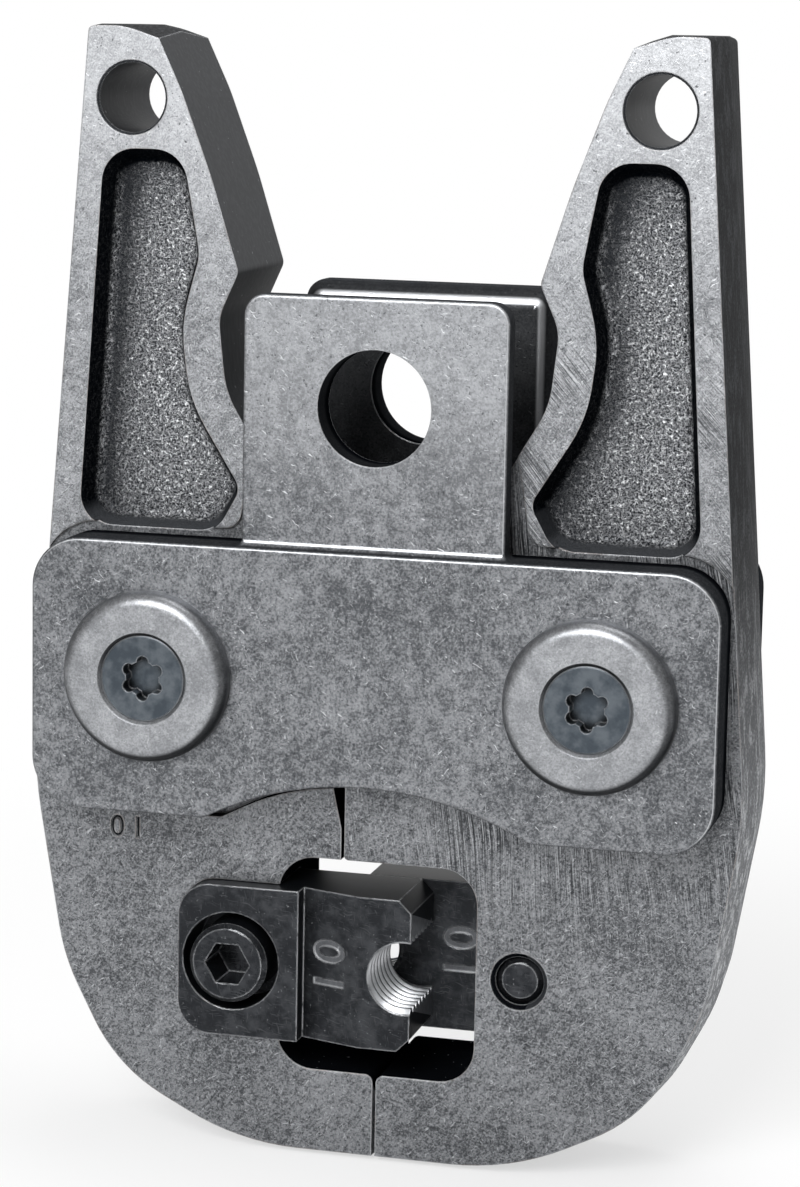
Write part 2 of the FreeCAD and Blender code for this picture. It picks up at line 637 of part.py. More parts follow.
def insert(name, half_turn):
    """Block with a half-round threaded recess at its nose and a counterbored hole."""
    body = new_body(name)
    block = outline(at_depth(body, name + "_block", shear_face), [
        (-z.insert_nose, z.insert_bottom + z.insert_bevel, None),
        (-z.insert_nose + z.insert_bevel, z.insert_bottom, None),
        (z.insert_end, z.insert_bottom, z.insert_corner),
        (z.insert_end, z.insert_top, z.insert_corner),
        (-z.insert_nose + z.insert_bevel, z.insert_top, None),
        (-z.insert_nose, z.insert_top - z.insert_bevel, None),
    ])
    pad(body, block, insert_face - shear_face, True)
    round_end = discs(at_depth(body, name + "_thread_core", 0), [
        (-z.rod_offset, insert_middle, z.rod_minor),
    ])
    cut(body, round_end, insert_face + z.spare)
    mouth = outline(at_depth(body, name + "_thread_mouth", 0), [
        (-z.insert_nose - z.rod_minor, insert_middle - z.rod_minor, None),
        (-z.rod_offset, insert_middle - z.rod_minor, None),
        (-z.rod_offset, insert_middle + z.rod_minor, None),
        (-z.insert_nose - z.rod_minor, insert_middle + z.rod_minor, None),
    ])
    cut(body, mouth, insert_face + z.spare)
    slope = outline(new_sketch(body, name + "_slope", "XY_Plane", z.insert_bottom - z.spare), [
        (z.notch_start, insert_face + z.spare, None),
        (z.notch_start - (z.notch_start - z.notch_end) * (z.notch_deep + z.spare) / z.notch_deep,
         insert_face + z.spare, None),
        (z.notch_start, insert_face - z.notch_deep, None),
    ])
    cut(body, slope, z.insert_top - z.insert_bottom + z.spare * 2, False)
    well = discs(at_depth(body, name + "_counterbore", insert_face + z.spare), [
        (z.insert_screw_x, insert_middle, z.cap_bore),
    ])
    cut(body, well, z.cap_high + z.cap_sunk + z.spare, False)
    hole = discs(at_depth(body, name + "_hole", insert_face + z.spare), [
        (z.insert_screw_x, insert_middle, z.screw_hole),
    ])
    cut(body, hole, insert_face + z.spare * 2, False)
    return place(body, half_turn=half_turn)


# Turned pieces, drawn about the Y axis with their outer end in front

def pivot_pin(name, side):
    """Hardened pin with a tapped hole in each end."""
    body = new_body(name)
    deep = z.pin_screw_length + z.tap_spare
    turned(body, name + "_profile", [
        (0, -bar_outer + deep, None),
        (tap_radius, -bar_outer + deep, None),
        (tap_radius, -bar_outer, None),
        (z.pin_radius - z.pin_bevel, -bar_outer, None),
        (z.pin_radius, -bar_outer + z.pin_bevel, None),
        (z.pin_radius, bar_outer - z.pin_bevel, None),
        (z.pin_radius - z.pin_bevel, bar_outer, None),
        (tap_radius, bar_outer, None),
        (tap_radius, bar_outer - deep, None),
        (0, bar_outer - deep, None),
    ])
    return place(body, z.pivot_x * side, 0, z.pivot_z)


def washer(name, side, half_turn):
    """Domed washer with a countersunk seat."""
    body = new_body(name)
    seat = z.csk_radius + z.head_play
    cone = seat - z.screw_hole
    turned(body, name + "_profile", [
        (z.screw_hole, 0, None),
        (z.screw_hole, -z.washer_thick + z.washer_land + cone, None),
        (seat, -z.washer_thick + z.washer_land, None),
        (seat + z.washer_land, -z.washer_thick, None),
        (z.washer_radius, -z.washer_thick, z.washer_round),
        (z.washer_radius, 0, None),
    ])
    depth = bar_outer if half_turn else -bar_outer
    return place(body, z.pivot_x * side, depth, z.pivot_z, half_turn)


def washer_screw(name, side, half_turn):
    """Countersunk screw with a six-lobe recess."""
    body = new_body(name)
    top = -z.washer_thick + z.washer_land
    cone = z.csk_radius - z.screw_radius
    turned(body, name + "_profile", [
        (0, top, None),
        (z.csk_radius, top, None),
        (z.screw_radius, top + cone, None),
        (z.screw_radius, z.pin_screw_length - z.tip_round, None),
        (z.screw_radius - z.tip_round, z.pin_screw_length, None),
        (0, z.pin_screw_length, None),
    ])
    core = discs(at_depth(body, name + "_core", top - z.spare), [(0, 0, z.lobe_core)])
    cut(body, core, z.lobe_deep + z.spare)
    lobe = discs(at_depth(body, name + "_lobe", top - z.spare), [(0, z.lobe_ring, z.lobe_radius)])
    notch = cut(body, lobe, z.lobe_deep + z.spare)
    ring = body.newObject("PartDesign::PolarPattern", name + "_lobes")
    ring.Originals = [notch]
    ring.Axis = (lobe, ["N_Axis"])
    ring.Angle = 360
    ring.Occurrences = 6
    body.Tip = ring
    doc.recompute()
    depth = bar_outer if half_turn else -bar_outer
    return place(body, z.pivot_x * side, depth, z.pivot_z, half_turn)


def insert_screw(name, side, half_turn):
    """Socket head screw from the insert's face into the other half of the lever."""
    body = new_body(name)
    seat = insert_face - z.cap_sunk - z.cap_high
    head = seat + z.cap_high
    tip = seat_half - z.tip_sunk
    turned(body, name + "_profile", [
        (0, -head, None),
        (z.cap_radius - z.cap_bevel, -head, None),
        (z.cap_radius, -head + z.cap_bevel, None),
        (z.cap_radius, -seat, None),
        (z.screw_radius, -seat, None),
        (z.screw_radius, tip - z.tip_round, None),
        (z.screw_radius - z.tip_round, tip, None),
        (0, tip, None),
    ])
    reach = z.socket_across / math.sqrt(3.0)
    corners = []
    for k in range(6):
        angle = math.radians(60 * k)
        corners.append((reach * math.cos(angle), reach * math.sin(angle), None))
    socket = outline(at_depth(body, name + "_socket", -head - z.spare), corners)
    cut(body, socket, z.socket_deep + z.spare)
    return place(body, z.insert_screw_x * side, 0, insert_middle, half_turn)


# Compression spring between the levers

def closing_spring(name):
    """Coil whose ends rest on the floors of its two seats."""
    half = z.waist_half.value + z.spring_seat.value
    wire = z.spring_wire.value
    coil = z.spring_radius.value - wire
    length = 2 * (half - wire)
    turns = round(length / z.spring_pitch.value)
    path = Part.makeHelix(length / turns, length, coil)
    ring = Part.Circle(FreeCAD.Vector(coil, 0, 0), FreeCAD.Vector(0, 1, 0), wire)
    section = Part.Wire([ring.toShape()])
    shape = Part.Wire(path).makePipeShell([section], True, True)
    made = doc.addObject("Part::Feature", name)
    made.Label = name
    made.Shape = shape
    made.Placement = FreeCAD.Placement(
        FreeCAD.Vector(-length / 2, 0, z.spring_z.value),
        FreeCAD.Rotation(FreeCAD.Vector(0, 1, 0), 90),
    )
    return made


# All pieces

pieces = [
    plate("front_plate", False),
    plate("rear_plate", True),
    lever("right_lever", False),
    lever("left_lever", True),
    insert("right_cutting_insert", False),
    insert("left_cutting_insert", True),
    insert_screw("right_insert_screw", 1, True),
    insert_screw("left_insert_screw", -1, False),
    closing_spring("closing_spring"),
]
for hand, side in (("left", -1), ("right", 1)):
    pieces.append(pivot_pin(hand + "_pivot_pin", side))
    for end, half_turn in (("front", False), ("rear", True)):
        pieces.append(washer("%s_%s_washer" % (end, hand), side, half_turn))
        pieces.append(washer_screw("%s_%s_washer_screw" % (end, hand), side, half_turn))
doc.recompute()

# Checks and export

faults = [o.Label for o in doc.Objects if "Invalid" in o.State or "Error" in o.State]
for piece in pieces:
    if piece.Shape.isNull() or not piece.Shape.isValid():
        faults.append(piece.Label + " has a bad shape")
if faults:
    raise RuntimeError("Not built: " + ", ".join(faults))
os.makedirs("parts", exist_ok=True)
for piece in pieces:
    piece.Shape.exportStep("parts/%s.step" % piece.Label)
    box = piece.Shape.BoundBox
    print("%-26s %9.1f mm3  %d solid  x %.1f %.1f  y %.1f %.1f  z %.1f %.1f" % (
        piece.Label, piece.Shape.Volume, len(piece.Shape.Solids),
        box.XMin, box.XMax, box.YMin, box.YMax, box.ZMin, box.ZMax))
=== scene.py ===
# %% [markdown]
# # A rod cutting jaw in worn steel
# The part is a pair of forged levers that swing between two T-shaped plates and shear a threaded rod
# between two black inserts. Its solids come packed and exact, so this scene keeps them in place and gives
# them what they lack: forged and ground surfaces, worn edges, threads, stamped numbers, light and a camera.

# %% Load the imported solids
import json
import math

import bmesh
import bpy
from mathutils import Matrix, Vector


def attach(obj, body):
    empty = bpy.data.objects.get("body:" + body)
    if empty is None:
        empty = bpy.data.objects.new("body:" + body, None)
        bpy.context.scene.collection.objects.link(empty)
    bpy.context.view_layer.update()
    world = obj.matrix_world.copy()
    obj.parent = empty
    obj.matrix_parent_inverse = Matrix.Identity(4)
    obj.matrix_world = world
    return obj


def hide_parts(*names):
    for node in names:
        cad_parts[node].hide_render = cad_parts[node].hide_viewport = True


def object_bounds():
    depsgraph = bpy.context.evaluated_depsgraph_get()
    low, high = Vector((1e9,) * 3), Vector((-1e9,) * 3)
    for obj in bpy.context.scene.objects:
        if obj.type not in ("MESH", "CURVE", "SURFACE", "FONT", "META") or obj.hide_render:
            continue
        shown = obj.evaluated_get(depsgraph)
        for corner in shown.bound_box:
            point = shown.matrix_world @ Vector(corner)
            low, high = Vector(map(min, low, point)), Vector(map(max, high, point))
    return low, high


MM = 0.001
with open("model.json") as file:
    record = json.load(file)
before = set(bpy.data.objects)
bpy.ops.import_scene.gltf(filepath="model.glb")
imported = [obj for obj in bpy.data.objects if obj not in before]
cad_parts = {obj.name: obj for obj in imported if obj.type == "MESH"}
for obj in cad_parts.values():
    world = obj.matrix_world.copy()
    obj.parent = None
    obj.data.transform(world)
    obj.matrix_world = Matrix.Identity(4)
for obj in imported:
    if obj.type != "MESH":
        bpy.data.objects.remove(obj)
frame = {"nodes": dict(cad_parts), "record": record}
nodes = frame["nodes"]
cad_low, cad_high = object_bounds()
size_mm = [round((b - a) / MM, 1) for a, b in zip(cad_low, cad_high)]
print("loaded", len(nodes), "solids,", size_mm, "mm overall")

# %% [markdown]
# ## Camera
# The jaw is seen from slightly to its right and slightly above, from close by: 418 mm, with a long lens.
# The camera's three axes are worked out from its azimuth, elevation and roll, and written as one matrix,
# because a Track To constraint could not hold the small roll.

# %% Camera
AZIMUTH, ELEVATION, ROLL = (math.radians(a) for a in (14.765, 9.678, 1.119))
DISTANCE = 418.296 * MM
TARGET_ACROSS, TARGET_UP = -0.213 * MM, -24.537 * MM
FOCAL_PIXELS, IMAGE_HEIGHT = 3375.5, 1187
SENSOR = 36

back = Vector((math.sin(AZIMUTH) * math.cos(ELEVATION),
               -math.cos(AZIMUTH) * math.cos(ELEVATION), math.sin(ELEVATION)))
level = Vector((math.cos(AZIMUTH), math.sin(AZIMUTH), 0))
upright = back.cross(level)
right = level * math.cos(ROLL) + upright * math.sin(ROLL)
above = upright * math.cos(ROLL) - level * math.sin(ROLL)
target = level * TARGET_ACROSS + Vector((0, 0, TARGET_UP))

camera = bpy.data.objects.new("camera", bpy.data.cameras.new("camera"))
camera.data.sensor_width = SENSOR
camera.data.lens = FOCAL_PIXELS / IMAGE_HEIGHT * SENSOR
camera.data.clip_start, camera.data.clip_end = 0.01, 20
turn = Matrix((right, above, back)).transposed()
camera.matrix_world = Matrix.Translation(target + back * DISTANCE) @ turn.to_4x4()
bpy.context.scene.collection.objects.link(camera)
bpy.context.scene.camera = camera
print("camera at", [round(c / MM) for c in camera.location], "mm, lens", round(camera.data.lens, 1))

# %% [markdown]
# ## Sums on sockets
# A finish is a chain of sums on noise, position and facing. Written as plain expressions such as
# 1 - mask * 0.5 they stay readable, so one small class wraps a socket and adds a Math node for each sign.
# A second class holds a node graph and makes every other node by one method. Materials and the world both
# use it, and a third class adds the Principled shader of a material.

# %% Wire, Graph and Finish
class Wire:
    """A node's output that takes part in plain sums."""

    def __init__(self, graph, socket):
        self.graph, self.socket = graph, socket

    def __add__(self, other):
        return self.graph.maths("ADD", self, other)

    def __sub__(self, other):
        return self.graph.maths("SUBTRACT", self, other)

    def __rsub__(self, other):
        return self.graph.maths("SUBTRACT", other, self)

    def __mul__(self, other):
        return self.graph.maths("MULTIPLY", self, other)

    def __abs__(self):
        return self.graph.maths("ABSOLUTE", self)

    __radd__, __rmul__ = __add__, __mul__


class Graph:
    """A node graph that ends in one output node."""

    def __init__(self, tree, end):
        self.tree = tree
        tree.nodes.clear()
        self.end = tree.nodes.new("ShaderNode" + end)

    def feed(self, socket, value):
        if isinstance(value, Wire):
            self.tree.links.new(value.socket, socket)
        else:
            socket.default_value = value

    def node(self, kind, settings=None, inputs=None, output=0):
        made = self.tree.nodes.new("ShaderNode" + kind)
        for key, value in (settings or {}).items():
            setattr(made, key, value)
        for key, value in (inputs or {}).items():
            self.feed(made.inputs[key], value)
        return Wire(self, made.outputs[output])

    def maths(self, operation, *values):
        return self.node("Math", {"operation": operation}, dict(enumerate(values)))

    def axis(self, vector, name):
        return self.node("SeparateXYZ", None, {0: vector}, name)

    def fade(self, value, low, high, first=0.0, last=1.0):
        """Runs softly from first to last while the value goes from low to high."""
        return self.node("MapRange", {"interpolation_type": "SMOOTHSTEP"}, {
            "Value": value, "From Min": low, "From Max": high, "To Min": first, "To Max": last})

    def largest(self, *values):
        most = values[0]
        for value in values[1:]:
            most = self.maths("MAXIMUM", most, value)
        return most

    def show(self, shown):
        """Leads a shader to the output."""
        self.feed(self.end.inputs[0], shown)


class Finish(Graph):
    """A material, built node by node round one Principled shader."""

    def __init__(self, name):
        self.material = bpy.data.materials.new(name)
        self.material.use_nodes = True
        super().__init__(self.material.node_tree, "OutputMaterial")
        self.shader = self.tree.nodes.new("ShaderNodeBsdfPrincipled")
        self.show(Wire(self, self.shader.outputs[0]))

    def surface(self, **inputs):
        for name, value in inputs.items():
            self.feed(self.shader.inputs[name.replace("_", " ")], value)
        return self.material


# %% [markdown]
# ## The words of a finish
# Every surface here is described with the same few words: where a point lies (in millimetres, in the
# object's own frame), which way it faces, grain of some size, short strokes in one direction, and how near
# a sharp edge it is. The Bevel node finds the edges: it looks round each point for other faces, and where
# its rounded normal leaves the true one there is an edge, which handling has rubbed bright.

# %% Grain, strokes and edges
EDGE_RADIUS = 0.3 * MM


class Steel(Finish):
    """A finish that knows where a point lies and which way it faces."""

    def __init__(self, name):
        super().__init__(name)
        place = self.node("TexCoord", output="Object")
        self.where = self.node("VectorMath", {"operation": "SCALE"}, {0: place, "Scale": 1 / MM}, "Vector")
        self.true_normal = self.node("NewGeometry", output="Normal")
        self.rounded = self.node("Bevel", {"samples": 3}, {"Radius": EDGE_RADIUS})

    def place(self, name):
        return self.axis(self.where, name)

    def facing(self, name):
        return self.axis(self.node("TexCoord", output="Normal"), name)

    def grain(self, size, detail=2.0, rough=0.5, where=None):
        return self.node("TexNoise", None, {"Vector": where or self.where, "Scale": 1 / size,
                                            "Detail": detail, "Roughness": rough}, "Fac")

    def warped(self, size, reach):
        """The place, pushed about by coarse noise, so that straight marks come out bent."""
        push = self.node("TexNoise", None, {"Vector": self.where, "Scale": 1 / size, "Detail": 1.0}, "Color")
        return self.node("VectorMath", {"operation": "MULTIPLY_ADD"},
                         {0: push, 1: (reach, reach, reach), 2: self.where}, "Vector")

    def strokes(self, angle, length, width, low, high, shift=0.0, where=None):
        """Marks in one direction: noise stretched along it and cut between low and high."""
        lie = self.node("Mapping", {"vector_type": "TEXTURE"}, {
            "Vector": where or self.where, "Location": (shift, shift * 0.7, shift * 1.3),
            "Rotation": (0, math.radians(angle), 0), "Scale": (length, width * 4, width)})
        return self.fade(self.grain(1, 1.0, 0.4, lie), low, high)

    def nicks(self, angles, length, width, low, step, where):
        """Short pale marks in several directions, each shifted by its angle times the step."""
        return self.largest(*(self.strokes(angle, length, width, low, 0.8, angle * step, where)
                              for angle in angles))

    def edges(self, low=0.02, high=0.22):
        along = self.node("VectorMath", {"operation": "DOT_PRODUCT"},
                          {0: self.rounded, 1: self.true_normal}, "Value")
        return self.fade(1 - along, low, high)

    def open_to_light(self, reach_mm, low, high, lean=(0, 0, 0)):
        """1 where the surface lies open, 0 in a corner or a hollow, looking round with a lean to one side."""
        leaning = self.node("VectorMath", {"operation": "ADD"}, {0: self.true_normal, 1: lean}, "Vector")
        seen = self.node("AmbientOcclusion", {"samples": 4, "only_local": True},
                         {"Distance": reach_mm * MM, "Normal": leaning}, "AO")
        return self.fade(seen, low, high)

    def blend(self, factor, first, second):
        return self.node("Mix", {"data_type": "RGBA"}, {0: factor, 6: first, 7: second}, 2)

    def bump(self, height, depth_mm):
        return self.node("Bump", None, {"Strength": 1.0, "Distance": depth_mm * MM, "Height": height,
                                        "Normal": self.rounded})


def tone(level, tint=0.012):
    """A cool grey as linear colour, from its 8-bit screen level, by the sRGB curve."""
    parts = []
    for share in (level / 255 - tint * 0.6, level / 255, level / 255 + tint):
        share = max(share, 0.0)
        parts.append(share / 12.92 if share <= 0.04045 else ((share + 0.055) / 1.055) ** 2.4)
    return (*parts, 1.0)


print("middle steel grey", [round(c, 3) for c in tone(128)])

# %% [markdown]
# ## Tumbled plate steel
# The plates have been hardened and then tumbled with stones. That leaves a soft mottled grey with a grain
# as fine as sand, and over it few and small pale nicks, each a little bent. Noise of three sizes makes the
# grey, and stretched noise on warped coordinates, cut off high so that only its peaks stay, the nicks.
# The walls that look sideways and the faces that the two plates turn to each other get little light, so
# they are darkened and lose their shine.

# %% Tumbled steel
SHINE = 0.8
BORE_WALL, BORE_RIM = 56.0, 68.0  # squares of the distance from the bore's axis, in square millimetres
PLATES_INSIDE, PLATES_OUTSIDE = 10.6, 12.0  # distances from the middle plane, in millimetres


def tumbled(name, dark, light, fleck, roughness=0.42):
    steel = Steel(name)
    across, up = steel.place("X"), steel.place("Z")
    outward = abs(steel.facing("Y"))

    # The mottled grey is painted paler towards the tongue at the top, as light falling from above.
    sand = steel.grain(0.3, 2.0, 0.65)
    clouds = steel.grain(1.5, 2.0, 0.65)
    broad = steel.grain(11.0, 1.0, 0.5)
    shade = steel.fade(sand * 0.6 + clouds * 0.35 + broad * 0.2, 0.42, 0.74)
    colour = steel.blend(shade, tone(dark), tone(light))
    colour = steel.blend(steel.fade(up, -19.0, 6.0) * 0.2, colour, tone(215))

    # Nicks gather where the surface is worn, a few are longer, and there are dark pits between.
    bent = steel.warped(1.1, 0.9)
    worn = steel.fade(steel.grain(3.5, 2.0, 0.6), 0.42, 0.66)
    flecks = steel.nicks((14, 73, 134), 0.8, 0.15, 0.67, 0.31, bent) * (worn * 0.7 + 0.3)
    rare = steel.strokes(33, 1.6, 0.16, 0.73, 0.79, 7.0, bent)
    pits = steel.fade(steel.grain(0.36, 1.0, 0.5), 0.34, 0.26)
    colour = steel.blend(flecks * 0.8, colour, tone(fleck))
    colour = steel.blend(rare * 0.8, colour, tone(fleck + 35))
    colour = steel.blend(pits * 0.55, colour, tone(dark * 0.55))

    # Walls, the bore and the inner faces lie in the dark.
    shaded_side = 1 - steel.fade(outward, 0.3, 0.9)
    bore = steel.fade(across * across + up * up, BORE_RIM, BORE_WALL)
    inside = steel.fade(abs(steel.place("Y")), PLATES_OUTSIDE, PLATES_INSIDE)
    colour = steel.blend(shaded_side * 0.9, colour, tone(dark * 0.4))
    colour = steel.blend(shaded_side * bore * 0.5, colour, tone(2))
    colour = steel.blend(inside * 0.86, colour, tone(2))

    # Worn edges are bright. Rolled edges that look up or to the right get a painted highlight, a thin bright
    # line where the roll begins.
    rim_highlight = steel.fade(outward, 0.8, 0.9) * steel.fade(outward, 0.992, 0.96)
    rim_highlight = rim_highlight * steel.fade(steel.facing("Z") + steel.facing("X") * 0.8, -0.25, 0.12)
    edge = steel.largest(steel.edges(), rim_highlight * 0.55)
    colour = steel.blend(edge * 0.85, colour, tone(228))
    height = sand * 0.7 + flecks * 0.5 + clouds * 0.5 - pits * 0.6
    return steel.surface(Base_Color=colour, Metallic=(1 - shaded_side) * SHINE, Normal=steel.bump(height, 0.02),
                         Roughness=roughness + shaded_side * 0.25 - (flecks * 0.1 + edge * 0.12),
                         Specular_IOR_Level=0.0)


plate_steel = tumbled("tumbled_plate", dark=78, light=140, fleck=200)
print("plates", plate_steel.name, "with", len(plate_steel.node_tree.nodes), "nodes")

# %% [markdown]
# ## The forged levers' surfaces
# A drop forging is finished by several tools, and each leaves its own skin. The raised arms and the seats
# are ground, with long fine scratches in patches, and the arms get painted light that makes them paler
# towards their upper end. The pocket still has the die's grain, small curled ridges worn bright on black
# scale, and its walls and the floor near them are painted dark as shade. The outer sides keep the dark forged
# skin, the inner roller faces are milled smooth, and the broached window below is painted nearly black as
# shade. The curled
# ridges are the contour lines of a noise: where its value crosses one half, a thin band is kept, which bends
# and closes as such ridges do.

# %% Ground, grained, forged and milled steel
STRAW = (0.3, 0.19, 0.12, 1)


def ground(name, dark, light, fleck, slant, scratch, band, painted_top_light, sideways):
    """Ground steel. Its scratches lean by slant, and fade in from the band's first height to its second."""
    steel = Steel(name)
    up = steel.place("Z")

    # Sand, clouds and short fibres make the grey, and painted light makes it paler towards the upper end.
    sand = steel.grain(0.22, 2.0, 0.7)
    clouds = steel.grain(1.8, 2.0, 0.65)
    broad = steel.grain(12.0, 1.0, 0.5)
    bent = steel.warped(1.2, 0.8)
    fibres = steel.strokes(-50, 1.5, 0.32, 0.25, 0.75, 1.0, bent)
    fibres = fibres + steel.strokes(14, 1.3, 0.3, 0.25, 0.75, 5.0, bent)
    shade = steel.fade(sand * 0.62 + clouds * 0.2 + broad * 0.18 + fibres * 0.07, 0.43, 0.7)
    colour = steel.blend(shade, tone(dark), tone(light))
    colour = steel.blend(steel.fade(up, 6.0, 42.0) * painted_top_light, colour, tone(236))

    # Nicks and pits lie all over.
    nicks = steel.nicks((20, 80, 140), 0.9, 0.14, 0.66, 0.23, bent)
    pits = steel.fade(steel.grain(0.45, 1.0, 0.5, bent), 0.31, 0.24)
    colour = steel.blend(nicks * 0.7, colour, tone(fleck))
    colour = steel.blend(pits * 0.8, colour, tone(dark * 0.45))

    # The grinding scratches stay within patches: pale ones first, then dark ones that cross.
    patch = steel.fade(up, *band)
    patch = patch * (steel.fade(steel.place("X"), -14.0, 16.0) * sideways + (1 - sideways))
    patch = patch * (steel.fade(steel.grain(7.0, 2.0, 0.5), 0.36, 0.6) * 0.8 + 0.2)
    drift = steel.warped(25.0, 4.0)
    lines = steel.strokes(slant, 14.0, 0.12, 0.48, 0.64, 3.0, drift)
    crossed = steel.strokes(slant + 14, 8.0, 0.1, 0.56, 0.7, 11.0, drift)
    pale = steel.strokes(slant - 3, 12.0, 0.11, 0.54, 0.7, 23.0, drift)
    colour = steel.blend(pale * patch * scratch * 0.7, colour, tone(fleck))
    colour = steel.blend(steel.largest(lines, crossed * 0.6) * patch * scratch, colour, tone(dark * 0.5))

    # Worn edges are bright, and here and there they have a straw tint.
    edge = steel.edges()
    tempered = edge * steel.fade(steel.grain(5.0, 1.0, 0.5), 0.4, 0.6)
    colour = steel.blend(edge * 0.85, colour, tone(238))
    colour = steel.blend(tempered * 0.55, colour, STRAW)
    height = sand * 0.7 + nicks * 0.5 + clouds * 0.5 - lines * patch * 0.7
    return steel.surface(Base_Color=colour, Metallic=SHINE, Normal=steel.bump(height, 0.02),
                         Roughness=0.44 - (nicks * 0.1 + edge * 0.12))


def grained(name):
    """The pocket's floor with its curled ridges, painted darker near the walls as shade. Its walls are
    painted dark as shade.
    """
    steel = Steel(name)
    first = steel.grain(0.62, 1.0, 0.5, steel.warped(0.7, 0.5))
    second = steel.grain(0.43, 1.0, 0.5, steel.warped(0.6, 0.4))
    ridges = steel.largest(steel.fade(abs(first - 0.5), 0.05, 0.008),
                           steel.fade(abs(second - 0.52), 0.05, 0.01))
    raised = ridges * steel.fade(steel.grain(0.5, 2.0, 0.6), 0.4, 0.62)
    fine = steel.grain(0.24, 2.0, 0.65)
    deep = steel.fade(abs(steel.place("Y")), 7.2, 6.05)
    lit = deep * steel.fade(steel.facing("Z"), -0.5, -0.05)
    # Painted shade: the floor darkens near the walls, more near the left one.
    lean_to_the_left = (-0.75, 0, 0.2)
    shadow = steel.open_to_light(9.0, 0.42, 0.9, lean_to_the_left)
    colour = steel.blend(steel.fade(fine, 0.42, 0.62), tone(22), tone(140))
    colour = steel.blend(raised, colour, tone(248))
    colour = steel.blend(shadow, tone(30), colour)
    # The walls are painted dark as shade: nearly black, and dark grey where they look up.
    wall_shade = steel.blend(steel.fade(steel.facing("Z"), 0.2, 0.75), tone(2), tone(62))
    colour = steel.blend(lit * 0.97 + 0.03, wall_shade, colour)
    return steel.surface(Base_Color=colour, Metallic=lit * 0.6, Roughness=0.72 - lit * 0.24,
                         Normal=steel.bump(raised * 0.8 + fine * 0.6, 0.12), Specular_IOR_Level=0.0)


def forged(name):
    """The die's skin on the sides, nearly black above and worn pale towards the foot."""
    steel = Steel(name)
    scale = steel.grain(0.4, 3.0, 0.7)
    broad = steel.grain(4.0, 2.0, 0.5)
    rows = steel.strokes(90, 6.0, 0.3, 0.42, 0.7, 2.0)
    shade = steel.fade(scale * 0.7 + broad * 0.15 + rows * 0.14, 0.4, 0.68)
    low = steel.fade(steel.place("Z"), -8.0, -60.0)
    lower = steel.blend(shade, tone(120), tone(215))
    colour = steel.blend(low, steel.blend(shade, tone(18), tone(64)), lower)
    edge = steel.edges(0.03, 0.3)
    colour = steel.blend(edge * (low * 0.3 + 0.5), colour, tone(205))
    return steel.surface(Base_Color=colour, Metallic=0.35, Normal=steel.bump(scale + rows * 0.3, 0.07),
                         Roughness=0.7, Specular_IOR_Level=0.12)


def milled(name, level, shine=0.5):
    """Cut steel with fine runs from top to bottom, also for the floors of stamped and engraved marks."""
    steel = Steel(name)
    runs = steel.strokes(90, 12.0, 0.22, 0.35, 0.75, 5.0)
    clouds = steel.grain(2.0, 3.0, 0.6)
    sand = steel.grain(0.3, 2.0, 0.6)
    colour = steel.blend(runs * 0.3 + clouds * 0.3 + sand * 0.3, tone(level * 0.82), tone(level * 1.25))
    dots = steel.fade(steel.grain(0.6, 1.0, 0.5), 0.74, 0.8)
    colour = steel.blend(dots * 0.5, colour, tone(170))
    colour = steel.blend(steel.edges() * 0.85, colour, tone(232))
    return steel.surface(Base_Color=colour, Metallic=shine, Normal=steel.bump(runs, 0.008),
                         Roughness=0.5, Specular_IOR_Level=0.2 * shine)


arm_steel = ground("ground_arm", dark=96, light=158, fleck=215, slant=52, scratch=0.75,
                   band=(22.0, 0.0), painted_top_light=0.24, sideways=0.85)
seat_steel = ground("ground_lower_lever", dark=66, light=138, fleck=195, slant=84, scratch=0.95,
                    band=(-72.0, -50.0), painted_top_light=0.0, sideways=0.8)
pocket_steel = grained("forged_grain")
side_steel = forged("forged_side")
inner_steel = milled("milled_inner_face", 52)
# The window's faces are painted nearly black as shade.
window_steel = milled("window_painted_shade", 12, shine=0.0)
stamped_steel = milled("stamped_mark", 24)
lever_steels = [arm_steel, seat_steel, pocket_steel, side_steel, inner_steel, window_steel, stamped_steel]
print("lever surfaces", [material.name for material in lever_steels])

# %% [markdown]
# ## Small parts' finishes
# The washers are turned bright and tumbled soft, the countersunk screws are phosphated to a dark
# blue-grey, and the inserts and their screws are black oxide that wears to bare steel on every edge and
# corner. The thread itself is cut through the black, so it is bright.

# %% Turned, blued, blackened and bare steel
BLUE_DARK, BLUE_LIGHT = (0.045, 0.056, 0.068, 1), (0.1, 0.115, 0.13, 1)


def turned(name, level):
    steel = Steel(name)
    clouds = steel.grain(3.0, 3.0, 0.6) * 0.6 + steel.grain(0.5, 2.0, 0.6) * 0.4
    colour = steel.blend(steel.fade(clouds, 0.35, 0.7), tone(level - 16), tone(level + 16))
    sand = steel.grain(0.25, 2.0, 0.7)
    colour = steel.blend(steel.fade(sand, 0.6, 0.3) * 0.35, colour, tone(level * 0.6))
    nicks = steel.nicks((30, 120), 0.7, 0.12, 0.68, 0.4, steel.warped(1.2, 0.8))
    colour = steel.blend(nicks * 0.35, colour, tone(235))

    # The rolled edge is painted with shade: dark where it looks down, and less so above.
    outward = abs(steel.facing("Y"))
    below = steel.fade(steel.facing("X") * 0.2 - steel.facing("Z"), -0.35, 0.55)
    rolled_edge_shade = (1 - steel.fade(outward, 0.8, 0.99)) * (below * 0.85 + 0.15)
    colour = steel.blend(rolled_edge_shade * 0.92, colour, tone(14))
    colour = steel.blend(steel.edges(0.05, 0.4) * 0.5, colour, tone(238))
    return steel.surface(Base_Color=colour, Metallic=0.9, Normal=steel.bump(clouds + nicks * 0.3, 0.01),
                         Roughness=0.32 + clouds * 0.1)


